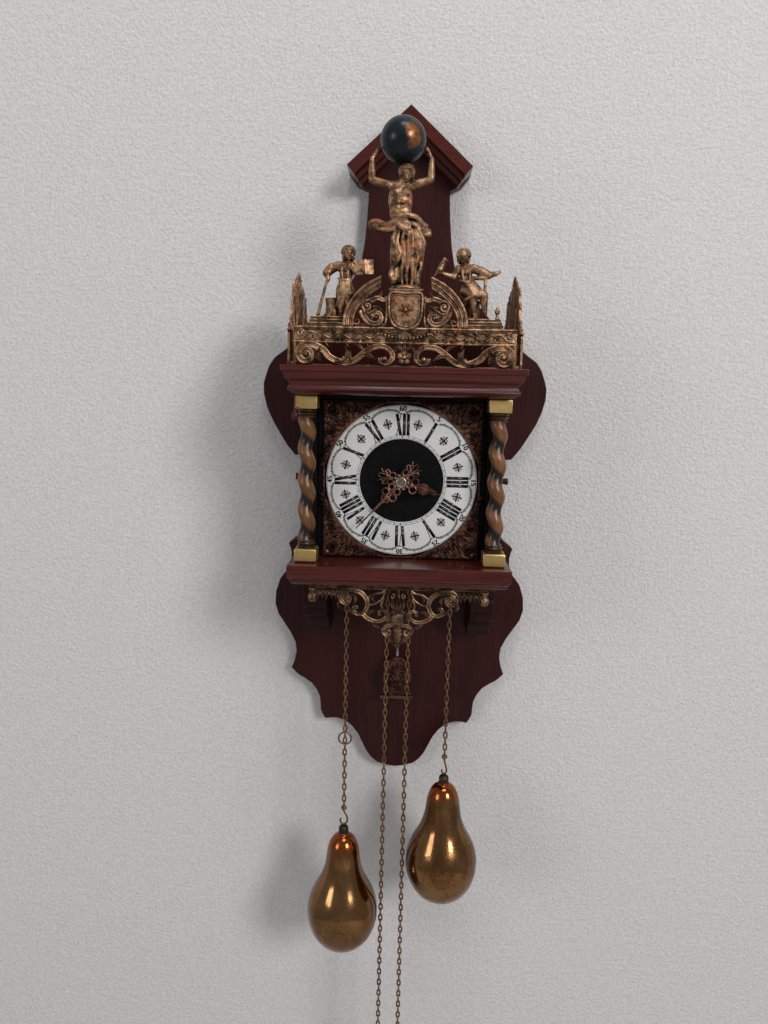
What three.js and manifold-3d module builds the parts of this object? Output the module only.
// Zaanse wall clock: a weight-driven, striking wall clock on a shaped backboard.
// Millimetres, +Z up. The wall is the plane y = 0 and the dial faces -Y.
// The origin lies on the back of the board, straight behind the middle of the dial.

import * as THREE from 'three';
import { mergeVertices } from 'three/addons/utils/BufferGeometryUtils.js';
import Module from 'manifold-3d';

const wasm = await Module();
wasm.setup();

// Clearances
const gap = 0.3;
const cutOverrun = 2;

// Backboard
const boardThickness = 14;
const boardHalfWidth = 139;
const boardRise = 331;
const boardDrop = 316;
const hangHoleRadius = 4;
const hangHoleDrop = 35;
const hangHoleZ = boardRise - hangHoleDrop;
const hangPlateWidth = 26;
const hangPlateHeight = 40;
const hangPlateThickness = 1.6;

// Gable
const gableHalfWidth = 57.5;
const gableFall = 52;
const gableDepth = 40;
const gableBandWidth = 10.5;
const gableStepWidth = 15;
const gableStepDepth = 32;
const gableBeadWidth = 19;
const gableBeadDepth = 26;

// Case
const caseTopZ = 71.8;
const caseFloorZ = -68.3;
const corniceHeight = 23.2;
const corniceHalfWidth = 97.7;
const corniceDepth = 165;
const plinthHeight = 16.7;
const plinthHalfWidth = 93;
const plinthDepth = 160;
const stileWidth = 13;
const stileDepth = 14;
const stileInnerX = 72.2;
const stileFrontY = -127;
const frameRail = 2.5;

// Side doors
const doorThickness = 6;
const doorOuterX = 85;
const doorRearY = -20;
const doorRail = 14;
const doorGap = 1;
const hingeY = -23.2;
const hingePinRadius = 1;
const hingePinLength = 12;
const panelSink = 2.4;
const panelBevel = 7;
const knobLength = 8;
const knobRadius = 3.2;

// Columns and their caps
const columnX = 79.3;
const columnY = -138;
const capWidth = 18.6;
const capHeight = 11.4;
const capChamfer = 0.8;
const twistRadius = 6.8;
const twistThrow = 2.2;
const twistPitch = 25;
const collarHeight = 7;
const collarRadius = 7.6;

// Corbels
const corbelX = 79;
const corbelWidth = 22;
const corbelReach = 62;
const corbelDrop = 76;

// Dial
const dialHalfWidth = 71.6;
const dialThickness = 1.6;
const dialFrontY = -119;
const dialHoleRadius = 6;
const ringOuterRadius = 64.8;
const ringInnerRadius = 36;
const ringThickness = 1.4;
const spandrelReach = 66.2;
const spandrelThickness = 3;
const spandrelHoleRadius = 4;
const spandrelRim = 1.2;
const spandrelRimThickness = 1.2;

// Hands and motion work
const hourHandLength = 35;
const hourHandTail = 22;
const hourHandAngle = 107.5;
const minuteHandLength = 57;
const minuteHandTail = 22;
const minuteHandAngle = 223;
const handThickness = 1.2;
const hourHandY = -127.6;
const minuteHandY = -131.6;
const hourHubRadius = 7;
const minuteHubRadius = 5;
const hourPipeRadius = 4;
const minutePipeRadius = 2.6;
const colletRadius = 4.6;
const colletHeight = 2.4;
const cannonRadius = 5;
const minuteWheelRadius = 15;
const minutePinionRadius = 4;
const hourWheelRadius = 16;
const cannonTeeth = 8;
const minuteWheelTeeth = 24;
const minutePinionTeeth = 6;
const hourWheelTeeth = 24;
const cannonY = -107.6;
const hourWheelY = -112.6;
const motionWheelThickness = 2;

// Movement frame
const plateHalfWidth = 60;
const plateTopZ = 63;
const plateThickness = 2;
const frontPlateY = -103;
const backPlateY = -62;
const pillarRadius = 3.4;
const pillarX = 54.6;
const pillarTopZ = 57;
const pillarFootZ = -62;
const seatScrewRadius = 2;
const seatScrewHeadRadius = 4.2;
const seatScrewHeadHeight = 2.4;
const arborRadius = 1.5;
const wheelThickness = 1.8;

// Trains: arbor places, tip radii and tooth counts
const greatX = 29;
const greatZ = -20;
const greatRadius = 26.2;
const greatTeeth = 48;
const greatPinionTeeth = 16;
const greatY = -94;
const centrePinionRadius = 8.6;
const centreWheelRadius = 21.3;
const centreTeeth = 60;
const centreWheelY = -68;
const thirdX = 19.5;
const thirdZ = 14;
const thirdPinionRadius = 2.3;
const thirdWheelRadius = 21.5;
const thirdTeeth = 60;
const thirdWheelY = -75;
const escapeZ = 28;
const escapePinionRadius = 2.1;
const escapeRadius = 11;
const escapeTeeth = 30;
const escapeY = -89;
const trainPinionDepth = 6;
const pinWheelX = -30;
const pinWheelZ = 15;
const pinPinionRadius = 8.6;
const pinWheelRadius = 13;
const pinTeeth = 36;
const pinWheelY = -75;
const liftPinCount = 8;
const liftPinRadius = 0.8;
const liftPinLength = 4;
const flyZ = 30.6;
const flyPinionRadius = 2.2;
const flyReach = 10;
const flyWidth = 9;
const flyThickness = 0.8;
const flyY = -84;

// Chain wheels and chains
const chainY = -83;
const loadedX = 48;
const freeX = 10;
const chainFlange = 2;
const chainFlangeRadius = 21.5;
const linkPitch = 6;
const linksPerSection = 2;
const linkWidth = 5.2;
const chainGroove = linkWidth + 2 * gap;
const chainGrooveRadius = loadedX - greatX - linkWidth / 2 - gap;
const linkWire = 1.3;
const chainFreeEndZ = -588;
const pullRingRadius = 7.5;
const pullRingWire = 1.1;
const stopRingZ = -254;
const stopRingRadius = 6.6;
const stopRingWire = 1;
const chainSlotMargin = 7;
const chainSlotWidth = 15;

// Weights
const weightRadius = 35.2;
const weightHeight = 121.5;
const strikeWeightTopZ = -351.7;
const goingWeightTopZ = -295.4;
const weightLoopHeight = 12.5;
const weightLoopRadius = 3.6;
const hookLength = 13;
const hookWire = 1.2;

// Escapement and pendulum
const palletZ = 44;
const anchorHalfDepth = 1.6;
const palletWidth = 4;
const palletReach = 10.6;
const palletDrop = 8.5;
const crutchY = -44;
const crutchLength = 38;
const crutchForkGap = 1;
const pendulumY = -30;
const rodRadius = 1.2;
const bobZ = -210;
const bobWidth = 27;
const bobHeight = 42;
const bobThickness = 6;
const bobBarWidth = 33;
const bobBarHeight = 5;
const springLength = 12;
const springWidth = 5;
const springThickness = 0.6;
const cockWidth = 16;
const cockThickness = 3;
const cockHeight = 14;
const pendulumSlotHalfWidth = 22;
const pendulumSlotWidth = 16;

// Strike
const bellX = -34;
const bellZ = 30;
const bellRadius = 20;
const bellDepth = 15;
const bellWall = 1.4;
const bellRimY = -40;
const bellPostRadius = 2;
const bellNutRadius = 3.6;
const hammerPivotX = -55;
const hammerPivotZ = -5;
const hammerArmY = -43;
const hammerHeadRadius = 3.6;
const hammerHeadLength = 9;
const hammerRestGap = 1.2;

// Crest
const crestY = -152;
const platformThickness = 3;
const sitterStepHalf = 17;
const crestThickness = 3;
const crestHalfWidth = 91.5;
const crestHeight = 68;
const crestSideHeight = 82;
const crestSideRearGap = 16;
const crestSideX = 93.6;
const atlasBaseZ = 156.3;
const atlasHeight = 98;
const atlasY = -136;
const globeRadius = 18;
const globeRiseShare = 1.171;
const globeLeanShare = 0.053;
const sitterX = 57;
const sitterHeight = 52;
const sitterBaseZ = 134.6;
const sitterY = -138;

// Apron
const apronHalfWidth = 75.5;
const apronHeight = 57;
const apronY = -150;
const apronThickness = 2.6;

// Drop pull
const dropX = -87.5;
const dropY = -151;
const dropCordLength = 11;
const dropCordRadius = 0.5;
const dropLength = 10;
const dropRadius = 3;

// Finishes
function finish(color, roughness, metalness) {
  return new THREE.MeshStandardMaterial({ color, roughness, metalness });
}
const mahogany = () => finish(0x3d1512, 0.4, 0);
const walnut = () => finish(0x4a2712, 0.45, 0);
const agedBrass = () => finish(0x6f5326, 0.45, 0.9);
const brightBrass = () => finish(0xb0893a, 0.3, 1);
const steel = () => finish(0x8a8c8e, 0.35, 1);
const silver = () => finish(0xb7b6b0, 0.4, 0.8);
const black = () => finish(0x0d0c0b, 0.5, 0.1);
const enamel = () => finish(0x10202c, 0.25, 0.4);
const redLacquer = () => finish(0x4a0a12, 0.35, 0);

const clock = new THREE.Group();
clock.name = 'zaanse_clock';

function addPiece(name, geometry, material) {
  const mesh = new THREE.Mesh(geometry, material);
  mesh.name = name;
  clock.add(mesh);
  return mesh;
}

// Joining and cutting
function toSolid(geometry) {
  const bare = geometry.clone();
  bare.deleteAttribute('normal');
  bare.deleteAttribute('uv');
  const merged = mergeVertices(bare, 1e-4);
  return new wasm.Manifold(new wasm.Mesh({
    numProp: 3,
    vertProperties: new Float32Array(merged.attributes.position.array),
    triVerts: new Uint32Array(merged.index.array),
  }));
}

function toGeometry(solid) {
  const mesh = solid.getMesh();
  const geometry = new THREE.BufferGeometry();
  geometry.setAttribute('position', new THREE.BufferAttribute(mesh.vertProperties, 3));
  geometry.setIndex(new THREE.BufferAttribute(mesh.triVerts, 1));
  return geometry;
}

function join(geometries) {
  const solids = geometries.map(toSolid);
  return toGeometry(solids.reduce((sum, next) => sum.add(next)));
}

function cut(geometry, tools) {
  const solids = tools.map(toSolid);
  return toGeometry(solids.reduce((rest, next) => rest.subtract(next), toSolid(geometry)));
}

// Basic solids
function box(x0, x1, y0, y1, z0, z1) {
  const geometry = new THREE.BoxGeometry(x1 - x0, y1 - y0, z1 - z0);
  return geometry.translate((x0 + x1) / 2, (y0 + y1) / 2, (z0 + z1) / 2);
}

// A front outline in (x, z), from backY towards the viewer by depth.
function slab(shape, backY, depth, curveSegments = 8) {
  const geometry = new THREE.ExtrudeGeometry(shape, { depth, bevelEnabled: false, curveSegments });
  return geometry.rotateX(Math.PI / 2).translate(0, backY, 0);
}

// A side outline in (y, z), from x0 towards +X by width.
function sideSlab(shape, x0, width, curveSegments = 8) {
  const geometry = new THREE.ExtrudeGeometry(shape, { depth: width, bevelEnabled: false, curveSegments });
  const turn = new THREE.Matrix4().makeBasis(
    new THREE.Vector3(0, 1, 0), new THREE.Vector3(0, 0, 1), new THREE.Vector3(1, 0, 0));
  return geometry.applyMatrix4(turn).translate(x0, 0, 0);
}

// A profile of (radius, y) turned about an axis along Y through (x, z).
function turnedAlongY(profile, x, z, segments) {
  const points = profile.map(([radius, y]) => new THREE.Vector2(radius, y));
  return new THREE.LatheGeometry(points, segments).translate(x, 0, z);
}

// A profile of (radius, z) turned about a vertical axis through (x, y).
function turnedUpright(profile, x, y, segments) {
  const points = profile.map(([radius, z]) => new THREE.Vector2(radius, z));
  return new THREE.LatheGeometry(points, segments).rotateX(Math.PI / 2).translate(x, y, 0);
}

function rodAlongY(x, z, radius, y0, y1, segments = 12) {
  return turnedAlongY([[0, y0], [radius, y0], [radius, y1], [0, y1]], x, z, segments);
}

function rodUpright(x, y, radius, z0, z1, segments = 12) {
  return turnedUpright([[0, z0], [radius, z0], [radius, z1], [0, z1]], x, y, segments);
}

// A tapered rod between two points.
function rodBetween(from, to, fromRadius, toRadius, sides = 6) {
  const a = new THREE.Vector3(...from);
  const b = new THREE.Vector3(...to);
  const along = new THREE.Vector3().subVectors(b, a);
  const geometry = new THREE.CylinderGeometry(toRadius, fromRadius, along.length(), sides);
  const turn = new THREE.Quaternion().setFromUnitVectors(new THREE.Vector3(0, 1, 0),
    along.clone().normalize());
  const middle = new THREE.Vector3().addVectors(a, b).multiplyScalar(0.5);
  return geometry.applyQuaternion(turn).translate(middle.x, middle.y, middle.z);
}

function ball(x, y, z, radius, segments = 8) {
  return new THREE.SphereGeometry(radius, segments, Math.round(segments * 0.75)).translate(x, y, z);
}

function ringAround(x, y, z, radius, wire, segments = 12) {
  return new THREE.TorusGeometry(radius, wire, 5, segments).rotateX(Math.PI / 2).translate(x, y, z);
}

function ringAcross(x, y, z, radius, wire, segments = 12) {
  return new THREE.TorusGeometry(radius, wire, 5, segments).rotateY(Math.PI / 2).translate(x, y, z);
}

function outline(points) {
  return new THREE.Shape(points.map(([x, y]) => new THREE.Vector2(x, y)));
}

function circleHole(shape, x, z, radius) {
  const hole = new THREE.Path();
  hole.absarc(x, z, radius, 0, Math.PI * 2, true);
  shape.holes.push(hole);
}

function ovalHole(shape, x, z, halfWidth, halfHeight) {
  const hole = new THREE.Path();
  hole.absellipse(x, z, halfWidth, halfHeight, 0, Math.PI * 2, true);
  shape.holes.push(hole);
}

function mirrored(points) {
  const left = points.map(([x, z]) => [-x, z]).reverse();
  return points.concat(left.filter(([x]) => x !== 0));
}

// A stack of rectangles: each level is its height, half width and front.
function stackedMoulding(levels, backY) {
  const vertices = [];
  for (const [z, half, front] of levels) {
    vertices.push(-half, front, z, half, front, z, half, backY, z, -half, backY, z);
  }
  const faces = [0, 2, 1, 0, 3, 2];
  for (let level = 0; level < levels.length - 1; level += 1) {
    for (let side = 0; side < 4; side += 1) {
      const a = level * 4 + side;
      const b = level * 4 + (side + 1) % 4;
      faces.push(a, b, b + 4, a, b + 4, a + 4);
    }
  }
  const top = (levels.length - 1) * 4;
  faces.push(top, top + 1, top + 2, top, top + 2, top + 3);
  const geometry = new THREE.BufferGeometry();
  geometry.setAttribute('position', new THREE.Float32BufferAttribute(vertices, 3));
  geometry.setIndex(faces);
  return geometry;
}

// Round sections stacked along Z: each is its height, radius and centre.
function stackedRounds(sections, sides) {
  const vertices = [];
  for (const { z, radius, x, y } of sections) {
    for (let side = 0; side < sides; side += 1) {
      const angle = (side / sides) * Math.PI * 2;
      vertices.push(x + radius * Math.cos(angle), y + radius * Math.sin(angle), z);
    }
  }
  const faces = [];
  const last = (sections.length - 1) * sides;
  for (let side = 1; side < sides - 1; side += 1) {
    faces.push(0, side + 1, side);
    faces.push(last, last + side, last + side + 1);
  }
  for (let level = 0; level < sections.length - 1; level += 1) {
    for (let side = 0; side < sides; side += 1) {
      const a = level * sides + side;
      const b = level * sides + (side + 1) % sides;
      faces.push(a, b, b + sides, a, b + sides, a + sides);
    }
  }
  const geometry = new THREE.BufferGeometry();
  geometry.setAttribute('position', new THREE.Float32BufferAttribute(vertices, 3));
  geometry.setIndex(faces);
  return geometry;
}

// A toothed wheel with a rim, spokes and a hub.
function wheelBlank(teeth, tipRadius, backY, thickness, spokes = 0) {
  const toothShare = 0.93;
  const rimShare = 0.8;
  const hubShare = 0.26;
  const spokeShare = 0.12;
  const points = [];
  for (let tooth = 0; tooth < teeth; tooth += 1) {
    const angle = (tooth / teeth) * Math.PI * 2;
    const valley = ((tooth + 0.5) / teeth) * Math.PI * 2;
    points.push([tipRadius * Math.cos(angle), tipRadius * Math.sin(angle)]);
    points.push([tipRadius * toothShare * Math.cos(valley), tipRadius * toothShare * Math.sin(valley)]);
  }
  const shape = outline(points);
  for (let spoke = 0; spoke < spokes; spoke += 1) {
    const start = (spoke / spokes) * Math.PI * 2 + spokeShare;
    const end = ((spoke + 1) / spokes) * Math.PI * 2 - spokeShare;
    const window = new THREE.Path();
    const steps = 4;
    for (let step = 0; step <= steps; step += 1) {
      const angle = start + ((end - start) * step) / steps;
      const point = [tipRadius * rimShare * Math.cos(angle), tipRadius * rimShare * Math.sin(angle)];
      if (step === 0) window.moveTo(...point);
      else window.lineTo(...point);
    }
    window.lineTo(tipRadius * hubShare * Math.cos((start + end) / 2),
      tipRadius * hubShare * Math.sin((start + end) / 2));
    shape.holes.push(window);
  }
  return slab(shape, backY, thickness);
}

function wheelAt(x, z, teeth, tipRadius, backY, thickness, spokes) {
  return wheelBlank(teeth, tipRadius, backY, thickness, spokes).translate(x, 0, z);
}

// Backboard: shares of the half width, and of the rise or the drop
const neckShares = [[0.277, 0.797], [0.281, 0.734], [0.31, 0.616], [0.36, 0.56], [0.48, 0.49], [0.66, 0.41]];
const wingShares = [[0.806, 0.356], [0.926, 0.319], [0.978, 0.275], [1, 0.228], [0.962, 0.163],
  [0.885, 0.102]];
const waistShares = [[0.784, -0.04], [0.7, -0.02], [0.69, 0.16], [0.74, 0.221]];
const earShares = [[0.74, 0.221], [0.815, 0.248]];
const lobeShares = [[0.815, 0.248], [0.797, 0.271], [0.795, 0.299], [0.82, 0.335], [0.878, 0.366],
  [0.915, 0.43],
  [0.891, 0.483], [0.82, 0.53], [0.763, 0.578], [0.757, 0.622], [0.791, 0.666]];
const skirtShares = [[0.791, 0.666], [0.735, 0.69], [0.638, 0.717], [0.577, 0.763], [0.568, 0.81],
  [0.532, 0.839]];
const tailShares = [[0.532, 0.839], [0.448, 0.835], [0.36, 0.851], [0.284, 0.889], [0.218, 0.949],
  [0.135, 0.987], [0, 1]];

function boardPoint([xShare, zShare], height) {
  return [xShare * boardHalfWidth, zShare * height];
}

function smoothRun(points, count) {
  const curve = new THREE.SplineCurve(points.map(([x, z]) => new THREE.Vector2(x, z)));
  return curve.getPoints(count).map((point) => [point.x, point.y]);
}

function boardHalfOutline() {
  const eaveShare = 0.86;
  const eaveZ = boardRise - gableFall;
  const roof = [[0, boardRise], [gableHalfWidth, eaveZ],
    [gableHalfWidth * eaveShare, eaveZ - gableBandWidth]];
  const upper = neckShares.concat(wingShares).map((share) => boardPoint(share, boardRise));
  const waist = waistShares.map((share) => boardPoint(share, -boardDrop));
  const flank = smoothRun(upper.concat(waist), 26);
  const lobe = smoothRun(lobeShares.map((share) => boardPoint(share, -boardDrop)), 15);
  const skirt = smoothRun(skirtShares.map((share) => boardPoint(share, -boardDrop)), 10);
  const tail = smoothRun(tailShares.map((share) => boardPoint(share, -boardDrop)), 12);
  const ear = earShares.slice(1).map((share) => boardPoint(share, -boardDrop));
  const half = roof.concat(flank, ear, lobe.slice(1), skirt.slice(1), tail.slice(1));
  half[half.length - 1][0] = 0;
  return half;
}

function makeBackboard() {
  const blank = slab(outline(mirrored(boardHalfOutline())), 0, boardThickness);
  const hole = rodAlongY(0, hangHoleZ, hangHoleRadius, -boardThickness - cutOverrun, cutOverrun, 20);
  const recess = box(-hangPlateWidth / 2 - gap, hangPlateWidth / 2 + gap, -hangPlateThickness - gap,
    cutOverrun,
    hangHoleZ - hangPlateHeight / 2 - gap, hangHoleZ + hangPlateHeight / 2 + gap);
  addPiece('backboard', cut(blank, [hole, recess]), mahogany());

  const plate = box(-hangPlateWidth / 2, hangPlateWidth / 2, -hangPlateThickness, 0,
    hangHoleZ - hangPlateHeight / 2, hangHoleZ + hangPlateHeight / 2);
  const keyhole = rodAlongY(0, hangHoleZ, hangHoleRadius, -boardThickness, cutOverrun, 20);
  addPiece('hanger_plate', cut(plate, [keyhole]), brightBrass());
}

// Gable: three steps of moulding along both rakes, meeting at the ridge
function makeGable() {
  const ridge = new THREE.Vector2(0, boardRise);
  const eave = new THREE.Vector2(gableHalfWidth, boardRise - gableFall);
  const along = new THREE.Vector2().subVectors(eave, ridge).normalize();
  const inward = new THREE.Vector2(-along.y, along.x).multiplyScalar(-1);
  const layers = [[gableBeadWidth, gableBeadDepth], [gableStepWidth, gableStepDepth],
    [gableBandWidth, gableDepth]];
  const strips = layers.map(([width, depth]) => {
    const drop = width / along.x;
    const corner = eave.clone().addScaledVector(inward, width);
    const half = [[0, boardRise], [eave.x, eave.y], [corner.x, corner.y], [0, boardRise - drop]];
    const far = half.slice(1, 3).map(([x, z]) => [-x, z]).reverse();
    return slab(outline(half.concat(far)), -boardThickness - gap, depth - boardThickness - gap);
  });
  addPiece('gable_moulding', join(strips), mahogany());
}

// Cornice and plinth: shares of the height and of the overhang
const corniceOverhang = 11.3;
const corniceShares = [[0, 0], [0.1, 0.42], [0.18, 0.6], [0.28, 0.5], [0.34, 0.42], [0.46, 0.5], [0.58, 0.76],
  [0.69, 0.8], [0.72, 0.84], [0.79, 0.86], [0.8, 1], [1, 1]];
const plinthOverhang = 5;
const plinthShares = [[0, 0], [0.07, 0.35], [0.13, 0.5], [0.22, 0.54], [0.28, 0.45], [0.33, 0.84],
  [0.4, 1], [1, 1]];

function mouldingLevels(shares, bottomZ, height, halfWidth, depth, overhang) {
  return shares.map(([zShare, outShare]) => {
    const inset = overhang * (1 - outShare);
    return [bottomZ + zShare * height, halfWidth - inset, -depth + inset];
  });
}

function hingeX(side) {
  return side * (doorOuterX - doorThickness / 2);
}

function hingePinHoles(z0, z1) {
  return [-1, 1].map((side) => rodUpright(hingeX(side), hingeY, hingePinRadius + gap, z0, z1, 10));
}

function makeCornice() {
  const levels = mouldingLevels(corniceShares, caseTopZ, corniceHeight, corniceHalfWidth, corniceDepth,
    corniceOverhang);
  const blank = stackedMoulding(levels, -boardThickness - gap);
  const holes = hingePinHoles(caseTopZ - cutOverrun, caseTopZ + hingePinLength / 2 + gap);
  addPiece('cornice', cut(blank, holes), mahogany());
}

function makePlinth() {
  const bottomZ = caseFloorZ - plinthHeight;
  const levels = mouldingLevels(plinthShares, bottomZ, plinthHeight, plinthHalfWidth, plinthDepth,
    plinthOverhang);
  const blank = stackedMoulding(levels, -boardThickness - gap);
  const z0 = bottomZ - cutOverrun;
  const z1 = caseFloorZ + cutOverrun;
  const chainSlots = [-1, 1].map((side) => {
    const near = side * (freeX - chainSlotMargin);
    const far = side * (loadedX + chainSlotMargin);
    return box(Math.min(near, far), Math.max(near, far), chainY - chainSlotWidth / 2,
      chainY + chainSlotWidth / 2, z0, z1);
  });
  const pendulumSlot = box(-pendulumSlotHalfWidth, pendulumSlotHalfWidth,
    pendulumY - pendulumSlotWidth / 2, pendulumY + pendulumSlotWidth / 2, z0, z1);
  const screwHoles = seatScrewPlaces().map(([x, y]) => rodUpright(x, y, seatScrewRadius + gap, z0, z1, 10));
  const pinHoles = hingePinHoles(caseFloorZ - hingePinLength / 2 - gap, z1);
  addPiece('plinth', cut(blank, chainSlots.concat([pendulumSlot], screwHoles, pinHoles)), mahogany());
}

function makeDialFrame() {
  const outerX = stileInnerX + stileWidth;
  const blank = box(-outerX, outerX, stileFrontY, stileFrontY + stileDepth, caseFloorZ + gap, caseTopZ - gap);
  const opening = box(-stileInnerX, stileInnerX, stileFrontY - cutOverrun,
    stileFrontY + stileDepth + cutOverrun,
    caseFloorZ - cutOverrun, caseTopZ - gap - frameRail);
  addPiece('dial_frame', cut(blank, [opening]), mahogany());
}

// Side doors: a frame round a thinner fielded panel, on pivots that turn in the plinth and cornice
function makeDoors() {
  const frontY = stileFrontY + stileDepth + doorGap;
  const z0 = caseFloorZ + gap;
  const z1 = caseTopZ - gap;
  for (const [side, word] of [[-1, 'left'], [1, 'right']]) {
    const outer = side * doorOuterX;
    const inner = side * (doorOuterX - doorThickness);
    const sunk = side * (doorOuterX - panelSink);
    const blank = box(Math.min(outer, inner), Math.max(outer, inner), frontY, doorRearY, z0, z1);
    const recess = box(Math.min(sunk, outer + side * cutOverrun), Math.max(sunk, outer + side * cutOverrun),
      frontY + doorRail, doorRearY - doorRail, z0 + doorRail, z1 - doorRail);
    const field = box(Math.min(sunk, outer), Math.max(sunk, outer), frontY + doorRail + panelBevel,
      doorRearY - doorRail - panelBevel, z0 + doorRail + panelBevel, z1 - doorRail - panelBevel);
    const pivots = rodUpright(hingeX(side), hingeY, hingePinRadius,
      caseFloorZ - hingePinLength / 2 + gap, caseTopZ + hingePinLength / 2 - gap, 8);
    const knob = rodBetween([outer, frontY + doorRail / 2, 0],
      [outer + side * knobLength, frontY + doorRail / 2, 0],
      knobRadius * 0.5, knobRadius, 10);
    addPiece(`side_door_${word}`, join([cut(blank, [recess]), field, pivots, knob]), mahogany());
  }
}

// Barley-twist columns between square brass caps
function makeColumn(side, word) {
  const z0 = caseFloorZ + gap + capHeight + gap;
  const z1 = caseTopZ - gap - capHeight - gap;
  const neckShare = 0.82;
  const sections = [];
  const add = (z, radius, swing, angle) => sections.push({
    z, radius, x: side * columnX + swing * Math.cos(angle), y: columnY + swing * Math.sin(angle),
  });
  const collarShares = [[0, 1], [0.25, 1], [0.3, neckShare], [0.5, neckShare], [0.55, 1], [0.8, 1],
    [0.9, neckShare]];
  for (const [zShare, radiusShare] of collarShares) add(z0 + zShare * collarHeight,
    collarRadius * radiusShare, 0, 0);
  const twistStart = z0 + collarHeight;
  const twistLength = z1 - collarHeight - twistStart;
  const steps = Math.round((twistLength / twistPitch) * 6);
  for (let step = 0; step <= steps; step += 1) {
    const share = step / steps;
    const fade = Math.min(1, share * 8, (1 - share) * 8);
    add(twistStart + twistLength * share, twistRadius, twistThrow * fade,
      -side * (share * twistLength * Math.PI * 2) / twistPitch);
  }
  for (const [zShare, radiusShare] of collarShares.slice().reverse()) {
    add(z1 - zShare * collarHeight, collarRadius * radiusShare, 0, 0);
  }
  addPiece(`column_${word}`, stackedRounds(sections, 8), walnut());
}

function makeCaps() {
  for (const [side, hand] of [[-1, 'left'], [1, 'right']]) {
    for (const [z0, level] of [[caseFloorZ + gap, 'lower'], [caseTopZ - gap - capHeight, 'upper']]) {
      const half = capWidth / 2;
      const sections = [[0, half - capChamfer], [capChamfer, half], [capHeight - capChamfer, half],
        [capHeight, half - capChamfer]];
      const points = sections.map(([rise, reach]) => ({ z: z0 + rise, radius: reach * Math.SQRT2, x: 0,
        y: 0 }));
      const block = stackedRounds(points, 4).rotateZ(Math.PI / 4);
      addPiece(`column_cap_${level}_${hand}`, block.translate(side * columnX, columnY, 0), brightBrass());
    }
  }
}

// Corbels: shares of the reach from the board and of the drop below the plinth
const corbelShares = [[0, 0], [0.78, 0], [0.8, 0.1], [0.84, 0.12], [0.84, 0.2], [0.96, 0.24], [1, 0.28],
  [1, 0.36], [0.95, 0.4],
  [0.97, 0.46], [0.93, 0.56], [0.86, 0.6], [0.86, 0.68], [0.74, 0.74], [0.56, 0.8], [0.42, 0.9], [0.36,
    1], [0, 1]];

function makeCorbels() {
  const topZ = caseFloorZ - plinthHeight - gap;
  const shape = () => outline(corbelShares.map(([reach, drop]) => (
    [-boardThickness - gap - reach * corbelReach, topZ - drop * corbelDrop])).reverse());
  for (const [side, word] of [[-1, 'left'], [1, 'right']]) {
    addPiece(`corbel_${word}`, sideSlab(shape(), side * corbelX - corbelWidth / 2, corbelWidth), mahogany());
  }
}

// Dial: plate, chapter ring and four pierced corner pieces
function makeDial() {
  const plate = box(-dialHalfWidth, dialHalfWidth, dialFrontY, dialFrontY + dialThickness,
    caseFloorZ + gap, caseTopZ - frameRail - 2 * gap);
  const hole = rodAlongY(0, 0, dialHoleRadius, dialFrontY - cutOverrun,
    dialFrontY + dialThickness + cutOverrun, 20);
  addPiece('dial_plate', cut(plate, [hole]), black());

  const ring = new THREE.Shape();
  ring.absarc(0, 0, ringOuterRadius, 0, Math.PI * 2, false);
  circleHole(ring, 0, 0, ringInnerRadius);
  addPiece('chapter_ring', slab(ring, dialFrontY - gap, ringThickness, 24), silver());

  const cornerShares = [[1, 1], [1, 0.2], [0.97, 0.26], [0.9, 0.4]];
  const reach = spandrelReach;
  const inner = ringOuterRadius + gap;
  const arcStart = Math.atan2(cornerShares[3][1], cornerShares[3][0]);
  const corners = [];
  for (let quarter = 0; quarter < 4; quarter += 1) {
    const shape = new THREE.Shape();
    shape.moveTo(reach * cornerShares[0][0], reach * cornerShares[0][1]);
    shape.lineTo(reach * cornerShares[1][1], reach * cornerShares[1][0]);
    for (let step = 0; step <= 8; step += 1) {
      const angle = Math.PI / 2 - arcStart - ((Math.PI / 2 - 2 * arcStart) * step) / 8;
      if (step === 0) shape.lineTo(reach * cornerShares[2][1], reach * cornerShares[2][0]);
      shape.lineTo(inner * Math.cos(angle), inner * Math.sin(angle));
    }
    shape.lineTo(reach * cornerShares[2][0], reach * cornerShares[2][1]);
    shape.lineTo(reach * cornerShares[1][0], reach * cornerShares[1][1]);
    circleHole(shape, reach * 0.87, reach * 0.87, spandrelHoleRadius);
    circleHole(shape, reach * 0.9, reach * 0.62, spandrelHoleRadius * 0.7);
    circleHole(shape, reach * 0.62, reach * 0.9, spandrelHoleRadius * 0.7);
    const piece = slab(shape, dialFrontY - gap, spandrelThickness, 3);
    corners.push(piece.rotateY((quarter * Math.PI) / 2));
  }
  const rimEdge = reach + spandrelRim;
  const rim = slab(outline([[-rimEdge, -rimEdge], [rimEdge, -rimEdge], [rimEdge, rimEdge],
    [-rimEdge, rimEdge]]),
    dialFrontY - gap, spandrelRimThickness);
  const rimOpening = slab(outline([[-reach, -reach], [reach, -reach], [reach, reach], [-reach, reach]]),
    dialFrontY + cutOverrun, spandrelThickness + 2 * cutOverrun);
  const rimEdgeOverlap = cut(rim, [rimOpening.scale(1 - gap / reach, 1, 1 - gap / reach)]);
  addPiece('corner_spandrels', join(corners.concat([rimEdgeOverlap])), agedBrass());
}

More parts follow.
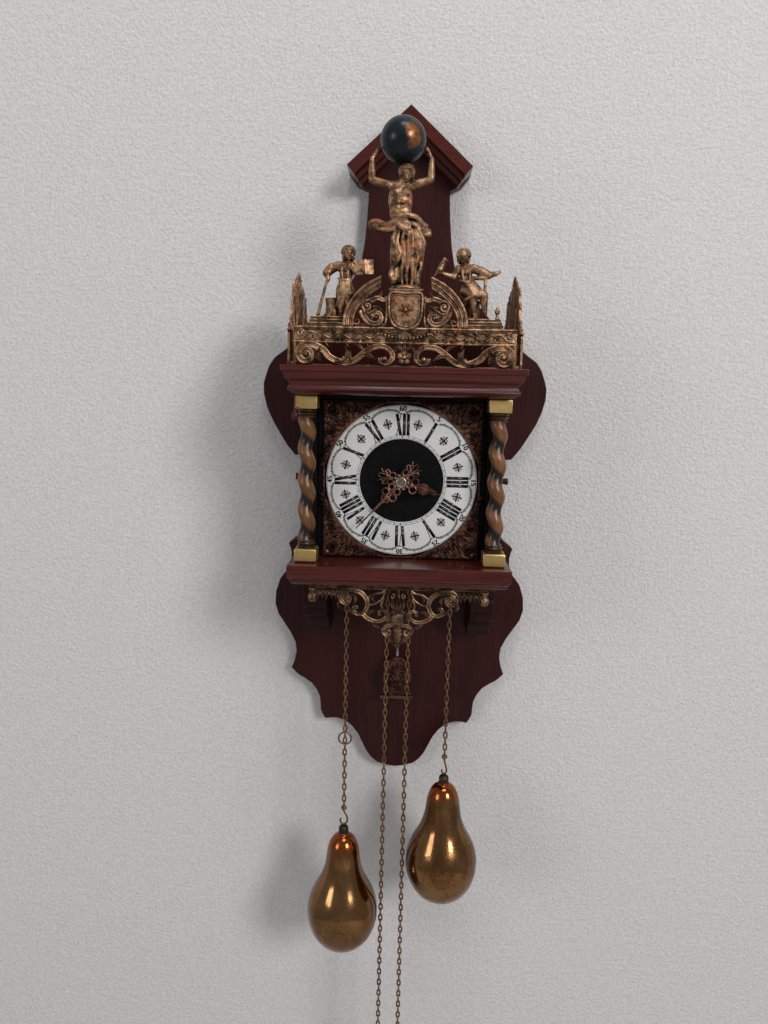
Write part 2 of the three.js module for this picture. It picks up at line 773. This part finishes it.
// Hands: pierced outlines along +Z, turned clockwise to their angle
const hourHandShares = [[0.1, 0], [0.1, 0.3], [0.24, 0.42], [0.3, 0.56], [0.22, 0.68], [0.08, 0.74],
  [0.05, 0.88], [0, 1]];
const minuteHandShares = [[0.05, 0], [0.05, 0.2], [0.13, 0.28], [0.16, 0.36], [0.12, 0.46], [0.05, 0.52],
  [0.035, 0.6],
  [0.02, 0.8], [0, 1]];
const handTailShares = [[0.12, 0], [0.14, 0.3], [0.4, 0.5], [0.5, 0.74], [0.3, 0.96], [0, 1]];

function handShape(bladeShares, length, tail, holeShare, holeRadiusShare) {
  const blade = bladeShares.map(([x, z]) => [x * length, z * length]);
  const tailSide = handTailShares.map(([x, z]) => [x * tail, -z * tail]).reverse();
  const half = tailSide.concat(blade.slice(1));
  const full = half.concat(half.slice(1, -1).map(([x, z]) => [-x, z]).reverse());
  const shape = outline(full);
  circleHole(shape, 0, holeShare * length, holeRadiusShare * length);
  return shape;
}

function makeHand(name, shares, sizes) {
  const { length, tail, hub, bore, y, angle, holeShare, holeRadiusShare } = sizes;
  const blade = slab(handShape(shares, length, tail, holeShare, holeRadiusShare), y, handThickness, 4);
  const disc = rodAlongY(0, 0, hub, y - handThickness, y, 20);
  const hole = rodAlongY(0, 0, bore, y - handThickness - cutOverrun, y + cutOverrun, 16);
  const hand = cut(join([blade, disc]), [hole]);
  hand.rotateY((angle * Math.PI) / 180);
  addPiece(name, hand, agedBrass());
}

function makeHands() {
  makeHand('hour_hand', hourHandShares, { length: hourHandLength, tail: hourHandTail, hub: hourHubRadius,
    bore: hourPipeRadius + gap, y: hourHandY, angle: hourHandAngle, holeShare: 0.54, holeRadiusShare: 0.13 });
  makeHand('minute_hand', minuteHandShares, { length: minuteHandLength, tail: minuteHandTail,
    hub: minuteHubRadius, bore: minutePipeRadius + gap, y: minuteHandY, angle: minuteHandAngle,
    holeShare: 0.37, holeRadiusShare: 0.07 });
  const frontY = minuteHandY - handThickness - gap;
  const profile = [[0, frontY], [colletRadius, frontY], [colletRadius, frontY - colletHeight * 0.4],
    [colletRadius * 0.5, frontY - colletHeight], [0, frontY - colletHeight]];
  addPiece('hand_collet', turnedAlongY(profile.reverse(), 0, 0, 16), brightBrass());
}

// Motion work between the front plate and the dial
function makeMotionWork() {
  const pipeEndY = hourHandY - handThickness;
  const hourPipe = rodAlongY(0, 0, hourPipeRadius, pipeEndY, hourWheelY, 20);
  const hourBore = rodAlongY(0, 0, minutePipeRadius + gap, pipeEndY - cutOverrun, hourWheelY + cutOverrun,
    16);
  const hourWheel = wheelAt(0, 0, hourWheelTeeth, hourWheelRadius, hourWheelY, motionWheelThickness, 4);
  addPiece('hour_wheel', cut(join([hourWheel, hourPipe]), [hourBore]), brightBrass());

  const minuteEndY = minuteHandY - handThickness;
  const cannonPipe = rodAlongY(0, 0, minutePipeRadius, minuteEndY, cannonY, 16);
  const cannonWheel = wheelAt(0, 0, cannonTeeth, cannonRadius, cannonY, motionWheelThickness, 0);
  const cannonBore = rodAlongY(0, 0, arborRadius + gap, minuteEndY - cutOverrun, cannonY + cutOverrun, 12);
  addPiece('cannon_pinion', cut(join([cannonWheel, cannonPipe]), [cannonBore]), brightBrass());

  const minuteWheelZ = -(cannonRadius + minuteWheelRadius + gap);
  const stud = frontPlateY - plateThickness - gap;
  const wheel = wheelAt(0, minuteWheelZ, minuteWheelTeeth, minuteWheelRadius, cannonY,
    motionWheelThickness, 4);
  const pinion = wheelAt(0, minuteWheelZ, minutePinionTeeth, minutePinionRadius, hourWheelY,
    motionWheelThickness, 0);
  const arbor = rodAlongY(0, minuteWheelZ, arborRadius, hourWheelY - motionWheelThickness, stud);
  addPiece('minute_wheel', join([wheel, pinion, arbor]), brightBrass());
}

// Movement frame: plates with arbor holes, pillars and the screws that seat it
function arborPlaces() {
  return [[-greatX, greatZ], [greatX, greatZ], [0, 0], [thirdX, thirdZ], [0, escapeZ], [0, palletZ],
    [pinWheelX, pinWheelZ], [pinWheelX, flyZ], [hammerPivotX, hammerPivotZ]];
}

function seatScrewPlaces() {
  const screwY = chainY - chainSlotWidth / 2 - seatScrewHeadRadius - gap;
  return [[-pillarX, screwY], [pillarX, screwY]];
}

function makeFrame() {
  const pillars = [];
  for (const x of [-pillarX, pillarX]) {
    for (const z of [pillarFootZ, pillarTopZ]) {
      pillars.push(rodAlongY(x, z, pillarRadius, frontPlateY + gap, backPlateY + gap, 10));
    }
  }
  for (const [name, frontY] of [['front_plate', frontPlateY - plateThickness], ['back_plate', backPlateY]]) {
    const blank = box(-plateHalfWidth, plateHalfWidth, frontY, frontY + plateThickness, caseFloorZ + gap,
      plateTopZ);
    const holes = arborPlaces().map(([x, z]) => (
      rodAlongY(x, z, arborRadius + gap, frontY - cutOverrun, frontY + plateThickness + cutOverrun, 10)));
    const plate = cut(blank, holes);
    addPiece(name, name === 'back_plate' ? join([plate].concat(pillars)) : plate, brightBrass());
  }
  const plinthBottom = caseFloorZ - plinthHeight;
  seatScrewPlaces().forEach(([x, y], place) => {
    const screw = turnedUpright([
      [0, plinthBottom - gap - seatScrewHeadHeight], [seatScrewHeadRadius,
        plinthBottom - gap - seatScrewHeadHeight],
      [seatScrewHeadRadius, plinthBottom - gap], [seatScrewRadius, plinthBottom - gap],
      [seatScrewRadius, pillarFootZ - pillarRadius - gap], [0, pillarFootZ - pillarRadius - gap]], x, y, 10);
    addPiece(`seat_screw_${place === 0 ? 'left' : 'right'}`, screw, steel());
  });
}

function arbor(x, z, y0 = frontPlateY - plateThickness, y1 = backPlateY + plateThickness) {
  return rodAlongY(x, z, arborRadius, y0, y1, 10);
}

// Going and striking trains
function makeTrains() {
  for (const [side, word] of [[1, 'going'], [-1, 'strike']]) {
    const x = side * greatX;
    const wheel = wheelAt(x, greatZ, greatTeeth, greatRadius, greatY, wheelThickness, 4);
    addPiece(`${word}_great_wheel`, join([wheel, arbor(x, greatZ)]), brightBrass());
    const front = chainY - chainGroove / 2;
    const back = chainY + chainGroove / 2;
    const spool = turnedAlongY([[arborRadius + gap, front - chainFlange],
      [chainFlangeRadius, front - chainFlange],
      [chainFlangeRadius, front], [chainGrooveRadius, front], [chainGrooveRadius,
        back], [chainFlangeRadius, back],
      [chainFlangeRadius, back + chainFlange], [arborRadius + gap, back + chainFlange],
      [arborRadius + gap, front - chainFlange]], x, greatZ, 20);
    addPiece(`${word}_chain_wheel`, spool, brightBrass());
  }
  const centreFrontY = minuteHandY - handThickness;
  const centrePinion = wheelAt(0, 0, greatPinionTeeth, centrePinionRadius,
    greatY + trainPinionDepth / 2 - wheelThickness / 2, trainPinionDepth, 0);
  const centreWheel = wheelAt(0, 0, centreTeeth, centreWheelRadius, centreWheelY, wheelThickness, 4);
  addPiece('centre_wheel', join([centrePinion, centreWheel, arbor(0, 0, centreFrontY)]), brightBrass());

  const thirdPinion = rodAlongY(thirdX, thirdZ, thirdPinionRadius, centreWheelY - wheelThickness - gap,
    centreWheelY + gap, 8);
  const thirdWheel = wheelAt(thirdX, thirdZ, thirdTeeth, thirdWheelRadius, thirdWheelY, wheelThickness, 4);
  addPiece('third_wheel', join([thirdPinion, thirdWheel, arbor(thirdX, thirdZ)]), brightBrass());

  const escapePinion = rodAlongY(0, escapeZ, escapePinionRadius, thirdWheelY - wheelThickness - gap,
    thirdWheelY + gap, 6);
  const escapeWheel = wheelAt(0, escapeZ, escapeTeeth, escapeRadius, escapeY, wheelThickness, 4);
  addPiece('escape_wheel', join([escapePinion, escapeWheel, arbor(0, escapeZ)]), brightBrass());

  const pinPinion = wheelAt(pinWheelX, pinWheelZ, greatPinionTeeth, pinPinionRadius,
    greatY + trainPinionDepth / 2 - wheelThickness / 2, trainPinionDepth, 0);
  const pinWheel = wheelAt(pinWheelX, pinWheelZ, pinTeeth, pinWheelRadius, pinWheelY, wheelThickness, 0);
  const pins = [];
  for (let pin = 0; pin < liftPinCount; pin += 1) {
    const angle = (pin / liftPinCount) * Math.PI * 2;
    const reach = pinWheelRadius * 0.76;
    pins.push(rodAlongY(pinWheelX + reach * Math.cos(angle), pinWheelZ + reach * Math.sin(angle),
      liftPinRadius,
      pinWheelY - wheelThickness * 0.5, pinWheelY + liftPinLength, 6));
  }
  addPiece('pin_wheel', join([pinPinion, pinWheel, arbor(pinWheelX, pinWheelZ)].concat(pins)), brightBrass());

  const flyPinion = rodAlongY(pinWheelX, flyZ, flyPinionRadius, pinWheelY - wheelThickness - gap,
    pinWheelY + gap, 8);
  const blade = box(pinWheelX - flyReach, pinWheelX + flyReach, flyY - flyWidth / 2, flyY + flyWidth / 2,
    flyZ - flyThickness / 2, flyZ + flyThickness / 2);
  addPiece('fly', join([flyPinion, blade, arbor(pinWheelX, flyZ)]), brightBrass());
}

// Anchor, crutch and pendulum
function makeEscapement() {
  const backY = escapeY + palletWidth / 2 - wheelThickness / 2;
  const arch = outline([[-palletReach, -palletDrop], [-palletReach * 0.9, -palletDrop * 0.5],
    [-palletReach * 0.4, anchorHalfDepth],
    [palletReach * 0.4, anchorHalfDepth], [palletReach * 0.9, -palletDrop * 0.5], [palletReach, -palletDrop],
    [palletReach * 0.72, -palletDrop * 0.55], [palletReach * 0.3, -anchorHalfDepth],
    [-palletReach * 0.3, -anchorHalfDepth],
    [-palletReach * 0.72, -palletDrop * 0.55]].reverse());
  const anchorBody = slab(arch, backY, palletWidth).translate(0, 0, palletZ);
  const arborRod = arbor(0, palletZ, frontPlateY - plateThickness, crutchY);
  const arm = box(-arborRadius, arborRadius, crutchY - arborRadius, crutchY, palletZ - crutchLength, palletZ);
  const reachY = pendulumY + rodRadius * 2;
  const z0 = palletZ - crutchLength;
  const inner = rodRadius + crutchForkGap;
  const outer = inner + rodRadius;
  const yoke = box(-outer, outer, crutchY - arborRadius, crutchY, z0 - arborRadius, z0 + arborRadius);
  const prongs = [-1, 1].map((side) => box(Math.min(side * inner, side * outer),
    Math.max(side * inner, side * outer),
    crutchY - arborRadius, reachY, z0 - arborRadius, z0 + arborRadius));
  addPiece('anchor', join([anchorBody, arborRod, arm, yoke].concat(prongs)), steel());

  const cockZ = palletZ + gap;
  const foot = box(-cockWidth / 2, cockWidth / 2, backPlateY + plateThickness + gap,
    backPlateY + plateThickness + gap + cockThickness, cockZ + arborRadius * 2, cockZ + cockHeight);
  const shelf = box(-cockWidth / 2, cockWidth / 2, backPlateY + plateThickness + gap, pendulumY + springWidth,
    cockZ + cockHeight - cockThickness, cockZ + cockHeight);
  const cheek = box(-springWidth / 2, springWidth / 2, pendulumY - springWidth / 2,
    pendulumY + springWidth / 2,
    cockZ, cockZ + cockHeight - cockThickness * 0.5);
  addPiece('pendulum_cock', join([foot, shelf, cheek]), brightBrass());

  const springTop = palletZ - gap;
  const spring = box(-springThickness / 2, springThickness / 2, pendulumY - springWidth / 2,
    pendulumY + springWidth / 2,
    springTop - springLength, springTop);
  const rod = rodUpright(0, pendulumY, rodRadius, bobZ + bobHeight / 2 + gap,
    springTop - springLength + rodRadius, 8);
  addPiece('pendulum_rod', join([spring, rod]), brightBrass());
}

// Pendulum bob: a pierced oval casting on a small base bar
function makeBob() {
  const halfWidth = bobWidth / 2;
  const halfHeight = bobHeight / 2;
  const shape = new THREE.Shape();
  shape.absellipse(0, bobZ, halfWidth, halfHeight, 0, Math.PI * 2, false, 0);
  for (const [xShare, zShare, radiusShare] of [[0, 0.5, 0.26], [-0.4, 0.06, 0.22], [0.4, 0.06, 0.22],
    [0, -0.4, 0.24]]) {
    circleHole(shape, xShare * halfWidth, bobZ + zShare * halfHeight, radiusShare * halfWidth);
  }
  const casting = slab(shape, pendulumY + bobThickness / 2, bobThickness, 7);
  const bar = box(-bobBarWidth / 2, bobBarWidth / 2, pendulumY - bobThickness / 2,
    pendulumY + bobThickness / 2,
    bobZ - halfHeight - bobBarHeight / 2, bobZ - halfHeight + bobBarHeight / 2);
  addPiece('pendulum_bob', join([casting, bar]), agedBrass());
}

// Bell on its post behind the back plate, with the hammer beside it
function makeStrike() {
  const crownY = bellRimY - bellDepth;
  const profile = [[bellPostRadius + gap, crownY], [bellRadius * 0.5, crownY],
    [bellRadius * 0.82, crownY + bellDepth * 0.2],
    [bellRadius * 0.94, crownY + bellDepth * 0.55], [bellRadius, bellRimY], [bellRadius - bellWall, bellRimY],
    [bellRadius * 0.94 - bellWall, crownY + bellDepth * 0.6], [bellRadius * 0.8 - bellWall,
      crownY + bellDepth * 0.3],
    [bellRadius * 0.5 - bellWall, crownY + bellWall], [bellPostRadius + gap,
      crownY + bellWall], [bellPostRadius + gap, crownY]];
  addPiece('bell', turnedAlongY(profile, bellX, bellZ, 18), brightBrass());
  const startY = backPlateY + plateThickness + gap;
  const seatY = crownY - gap;
  const nutY = crownY + bellWall + gap;
  const post = turnedAlongY([[0, startY], [bellNutRadius, startY], [bellNutRadius, seatY],
    [bellPostRadius, seatY],
    [bellPostRadius, nutY + bellWall], [0, nutY + bellWall]], bellX, bellZ, 16);
  addPiece('bell_stand', post, steel());
  const headX = bellX - bellRadius - hammerRestGap - hammerHeadRadius;
  const headY = bellRimY - hammerHeadRadius * 0.5;
  const arm = rodBetween([hammerPivotX, hammerArmY, hammerPivotZ], [headX, hammerArmY, bellZ],
    arborRadius, arborRadius, 6);
  const head = rodAlongY(headX, bellZ, hammerHeadRadius, headY - hammerHeadLength / 2,
    headY + hammerHeadLength / 2, 12);
  addPiece('hammer', join([arbor(hammerPivotX, hammerPivotZ, frontPlateY - plateThickness,
    hammerArmY + arborRadius), arm, head]), steel());
}

// Chains: links that stand across each other in turn, drawn as flat closed sections
function chainStrand(x, bottomZ, topZ) {
  const links = Math.round((topZ - bottomZ) / (linkPitch * linksPerSection));
  const vertices = [];
  const levels = [];
  for (let link = 0; link <= links; link += 1) {
    const faceOn = link % 2 === 0;
    const halfX = (faceOn ? linkWidth : linkWire) / 2;
    const halfY = (faceOn ? linkWire : linkWidth) / 2;
    levels.push([bottomZ + ((topZ - bottomZ) * link) / links, halfX, halfY]);
  }
  for (const [z, halfX, halfY] of levels) {
    vertices.push(x - halfX, chainY - halfY, z, x + halfX, chainY - halfY, z);
    vertices.push(x + halfX, chainY + halfY, z, x - halfX, chainY + halfY, z);
  }
  const faces = [0, 2, 1, 0, 3, 2];
  for (let level = 0; level < levels.length - 1; level += 1) {
    for (let side = 0; side < 4; side += 1) {
      const a = level * 4 + side;
      const b = level * 4 + (side + 1) % 4;
      faces.push(a, b, b + 4, a, b + 4, a + 4);
    }
  }
  const top = (levels.length - 1) * 4;
  faces.push(top, top + 1, top + 2, top, top + 2, top + 3);
  const geometry = new THREE.BufferGeometry();
  geometry.setAttribute('position', new THREE.Float32BufferAttribute(vertices, 3));
  geometry.setIndex(faces);
  return geometry;
}

function makeChains() {
  for (const [side, word, weightTopZ] of [[1, 'going', goingWeightTopZ], [-1, 'strike', strikeWeightTopZ]]) {
    const hookTop = weightTopZ + weightLoopHeight + hookLength;
    const loaded = chainStrand(side * loadedX, hookTop, greatZ);
    const parts = [loaded];
    const hookBottom = weightTopZ + weightLoopHeight - weightLoopRadius;
    parts.push(rodUpright(side * loadedX, chainY, hookWire, hookBottom, hookTop + linkWire, 8));
    if (side < 0) parts.push(ringAround(side * loadedX, chainY, stopRingZ, stopRingRadius, stopRingWire));
    addPiece(`${word}_chain_loaded`, join(parts), brightBrass());
    const ringZ = chainFreeEndZ - pullRingRadius;
    const free = [chainStrand(side * freeX, chainFreeEndZ, greatZ),
      ringAcross(side * freeX, chainY, ringZ, pullRingRadius, pullRingWire)];
    addPiece(`${word}_chain_free`, join(free), brightBrass());
  }
}

// Pear weights: shares of the radius and of the height, from the bottom up
const pearShares = [[0, 0], [0.31, 0.012], [0.58, 0.052], [0.8, 0.12], [0.94, 0.2], [1, 0.3],
  [0.98, 0.4], [0.88, 0.49],
  [0.72, 0.57], [0.57, 0.65], [0.49, 0.73], [0.46, 0.82], [0.42, 0.89], [0.36, 0.935], [0.25, 0.975], [0, 1]];

function makeWeight(side, word, topZ) {
  const bottomZ = topZ - weightHeight;
  const profile = pearShares.map(([r, h]) => [r * weightRadius, bottomZ + h * weightHeight]);
  const pear = turnedUpright(profile, side * loadedX, chainY, 18);
  const stemTop = topZ + weightLoopHeight - weightLoopRadius;
  const stem = rodUpright(side * loadedX, chainY, weightLoopRadius * 1.35, topZ - cutOverrun,
    stemTop - gap, 10);
  addPiece(`${word}_weight`, join([pear, stem]), brightBrass());
}

// Crest front: half outline and piercings as shares of the half width and height
const crestShares = [[0, 0.885], [0.14, 0.885], [0.14, 0.82], [0.19, 0.86], [0.215, 1], [0.26, 0.97],
  [0.34, 0.82], [0.43, 0.64],
  [0.49, 0.49], [0.52, 0.57], [0.83, 0.57], [0.85, 0.46], [0.97, 0.44], [1, 0.4], [1, 0], [0, 0]];
const crestHoleShares = [[0.22, 0.66, 0.045], [0.3, 0.58, 0.04], [0.4, 0.11, 0.05], [0.58, 0.13, 0.045],
  [0.74, 0.11, 0.05],
  [0.2, 0.12, 0.045], [0.6, 0.5, 0.02], [0.72, 0.5, 0.02]];

function mirroredOutline(shares, halfWidth, height, baseZ) {
  const half = shares.map(([x, z]) => [x * halfWidth, baseZ + z * height]);
  return outline(mirrored(half).reverse());
}

function makeCrest() {
  const baseZ = caseTopZ + corniceHeight + gap;
  const shape = mirroredOutline(crestShares, crestHalfWidth, crestHeight, baseZ);
  for (const [x, z, radius] of crestHoleShares) {
    for (const side of [-1, 1]) circleHole(shape, side * x * crestHalfWidth, baseZ + z * crestHeight,
      radius * crestHalfWidth);
  }
  const fret = slab(shape, crestY + crestThickness, crestThickness, 4);
  const platform = box(-sitterStepHalf * 0.62, sitterStepHalf * 0.62, atlasY - sitterStepHalf * 0.5,
    atlasY + sitterStepHalf * 0.5, atlasBaseZ - platformThickness, atlasBaseZ - gap);
  const bracket = box(-platformThickness, platformThickness, crestY + crestThickness - gap,
    atlasY + sitterStepHalf * 0.4,
    baseZ, atlasBaseZ - platformThickness / 2);
  const steps = [-1, 1].map((side) => box(side * sitterX - sitterStepHalf,
    side * sitterX + sitterStepHalf, crestY + gap,
    sitterY + sitterStepHalf * 0.7, sitterBaseZ - platformThickness, sitterBaseZ - gap));
  addPiece('crest_front', join([fret, platform, bracket].concat(steps)), agedBrass());

  const sideShares = [[0, 0], [1, 0], [1, 0.4], [0.87, 0.42], [0.81, 0.6], [0.75, 0.8], [0.66, 0.83],
    [0.6, 0.92], [0.53, 0.96], [0.5, 1],
    [0.47, 0.96], [0.4, 0.92], [0.34, 0.83], [0.25, 0.8], [0.19, 0.6], [0.13, 0.42], [0, 0.4]];
  const sideHoleShares = [[0.16, 0.2, 0.07, 0.11], [0.39, 0.2, 0.08, 0.13], [0.61, 0.2, 0.08, 0.13],
    [0.84, 0.2, 0.07, 0.11], [0.33, 0.58, 0.05, 0.14], [0.5, 0.64, 0.055, 0.18], [0.67, 0.58, 0.05, 0.14]];
  const rearY = -boardThickness - crestSideRearGap;
  const crestSideLength = rearY - crestY - crestThickness - gap;
  for (const [side, word] of [[-1, 'left'], [1, 'right']]) {
    const sideShape = outline(sideShares.map(([along, up]) => (
      [rearY - along * crestSideLength, baseZ + up * crestSideHeight])).reverse());
    for (const [along, up, wide, tall] of sideHoleShares) {
      ovalHole(sideShape, rearY - along * crestSideLength, baseZ + up * crestSideHeight,
        wide * crestSideLength, tall * crestSideHeight);
    }
    addPiece(`crest_side_${word}`, sideSlab(sideShape, side * crestSideX - crestThickness / 2,
      crestThickness, 4), agedBrass());
  }
}

// Figures: limbs as shares of the height, from the base; each is from, to and two radii
const atlasLimbShares = [
  [[0, 0, 0], [0, 0, 0.05], 0.15, 0.14],
  [[-0.06, 0, 0.04], [-0.055, 0, 0.26], 0.045, 0.055],
  [[0.06, 0, 0.04], [0.05, 0, 0.26], 0.045, 0.055],
  [[0, 0, 0.16], [0, 0, 0.5], 0.13, 0.12],
  [[-0.28, 0, 0.52], [0.28, 0, 0.47], 0.035, 0.035],
  [[-0.02, 0, 0.46], [-0.06, 0, 0.7], 0.09, 0.12],
  [[-0.06, 0, 0.7], [-0.05, 0, 0.78], 0.12, 0.07],
  [[-0.11, 0, 0.74], [-0.31, -0.02, 0.87], 0.045, 0.038],
  [[-0.31, -0.02, 0.87], [-0.31, -0.01, 1.05], 0.036, 0.03],
  [[-0.31, -0.01, 1.05], [-0.225, 0, 1.11], 0.03, 0.03],
  [[0.01, 0, 0.74], [0.24, -0.02, 0.88], 0.045, 0.038],
  [[0.24, -0.02, 0.88], [0.22, -0.01, 1.06], 0.036, 0.03],
  [[0.22, -0.01, 1.06], [0.12, 0, 1.12], 0.03, 0.03],
  [[-0.05, 0, 0.78], [-0.03, 0, 0.84], 0.05, 0.05],
];
const atlasHeadShares = [-0.02, -0.01, 0.9, 0.095];

const sitterLimbShares = [
  [[0, 0.12, 0], [0, 0.12, 0.32], 0.24, 0.2],
  [[0, 0.1, 0.3], [0, 0.08, 0.68], 0.16, 0.15],
  [[-0.1, 0.06, 0.36], [-0.16, -0.14, 0.34], 0.12, 0.1],
  [[0.1, 0.06, 0.36], [0.14, -0.14, 0.34], 0.12, 0.1],
  [[-0.16, -0.14, 0.34], [-0.18, -0.16, 0.02], 0.09, 0.06],
  [[0.14, -0.14, 0.34], [0.12, -0.16, 0.02], 0.09, 0.06],
  [[-0.14, 0.08, 0.66], [-0.32, 0, 0.5], 0.07, 0.06],
  [[-0.32, 0, 0.5], [-0.3, -0.12, 0.6], 0.055, 0.05],
  [[0.14, 0.08, 0.66], [0.34, 0, 0.52], 0.07, 0.06],
  [[0.34, 0, 0.52], [0.56, -0.06, 0.66], 0.055, 0.045],
  [[0, 0.08, 0.66], [0, 0.06, 0.8], 0.06, 0.06],
];
const sitterHeadShares = [0, 0.04, 0.88, 0.12];

function figure(limbs, head, height, x, y, baseZ, side) {
  const place = ([px, py, pz]) => [x + side * px * height, y + py * height, baseZ + pz * height];
  const solids = limbs.map(([from, to, r0, r1]) => (
    rodBetween(place(from), place(to), r0 * height, r1 * height, 6)));
  const knuckles = limbs.slice(6).map(([, to, , r1]) => ball(...place(to), r1 * height, 5));
  const [hx, hy, hz, hr] = head;
  solids.push(ball(...place([hx, hy, hz]), hr * height, 8));
  return join(solids.concat(knuckles));
}

function makeFigures() {
  const globeX = -globeLeanShare * atlasHeight;
  const globeZ = atlasBaseZ + globeRiseShare * atlasHeight;
  const globe = new THREE.SphereGeometry(globeRadius, 16, 10).rotateX(Math.PI / 2).translate(globeX, atlasY,
    globeZ);
  addPiece('globe', globe, enamel());
  const room = new THREE.SphereGeometry(globeRadius + gap, 16, 10).rotateX(Math.PI / 2).translate(globeX,
    atlasY, globeZ);
  const atlas = figure(atlasLimbShares, atlasHeadShares, atlasHeight, 0, atlasY, atlasBaseZ, 1);
  addPiece('atlas_figure', cut(atlas, [room]), agedBrass());
  addPiece('seated_figure_left', figure(sitterLimbShares, sitterHeadShares, sitterHeight, -sitterX, sitterY,
    sitterBaseZ, -1), agedBrass());
  addPiece('seated_figure_right', figure(sitterLimbShares, sitterHeadShares, sitterHeight, sitterX, sitterY,
    sitterBaseZ, 1), agedBrass());
}

// Apron: half outline and piercings below the plinth
const apronShares = [[0, 0], [1, 0], [1, -0.25], [0.92, -0.25], [0.9, -0.12], [0.74, -0.2], [0.62, -0.28],
  [0.56, -0.44],
  [0.44, -0.46], [0.32, -0.52], [0.2, -0.6], [0.12, -0.68], [0.07, -0.84], [0, -1]];
const apronHoleShares = [[0.49, -0.22, 0.09], [0.22, -0.22, 0.1], [0.34, -0.34, 0.04], [0.7, -0.1, 0.035],
  [0.12, -0.46, 0.035]];

function makeApron() {
  const topZ = caseFloorZ - plinthHeight - gap;
  const half = apronShares.map(([x, z]) => [x * apronHalfWidth, topZ + z * apronHeight]);
  const shape = outline(mirrored(half.slice(1)).reverse());
  for (const [x, z, radius] of apronHoleShares) {
    for (const side of [-1, 1]) circleHole(shape, side * x * apronHalfWidth, topZ + z * apronHeight,
      radius * apronHalfWidth);
  }
  addPiece('apron', slab(shape, apronY + apronThickness, apronThickness, 5), agedBrass());
}

// Drop pull: a turned drop on a short line under the cornice
function makeDropPull() {
  const topZ = caseTopZ - gap;
  const dropTop = topZ - dropCordLength;
  const line = rodUpright(dropX, dropY, dropCordRadius, dropTop - cutOverrun, topZ, 6);
  const drop = turnedUpright([[0, dropTop - dropLength], [dropRadius * 0.6, dropTop - dropLength * 0.95],
    [dropRadius, dropTop - dropLength * 0.7], [dropRadius * 0.7, dropTop - dropLength * 0.3], [0,
      dropTop]], dropX, dropY, 10);
  addPiece('drop_pull', join([line, drop]), redLacquer());
}

makeBackboard();
makeGable();
makeCornice();
makePlinth();
makeDialFrame();
makeDoors();
makeColumn(-1, 'left');
makeColumn(1, 'right');
makeCaps();
makeCorbels();
makeDial();
makeHands();
makeMotionWork();
makeFrame();
makeTrains();
makeEscapement();
makeBob();
makeStrike();
makeChains();
makeWeight(1, 'going', goingWeightTopZ);
makeWeight(-1, 'strike', strikeWeightTopZ);
makeCrest();
makeFigures();
makeApron();
makeDropPull();

export default clock;
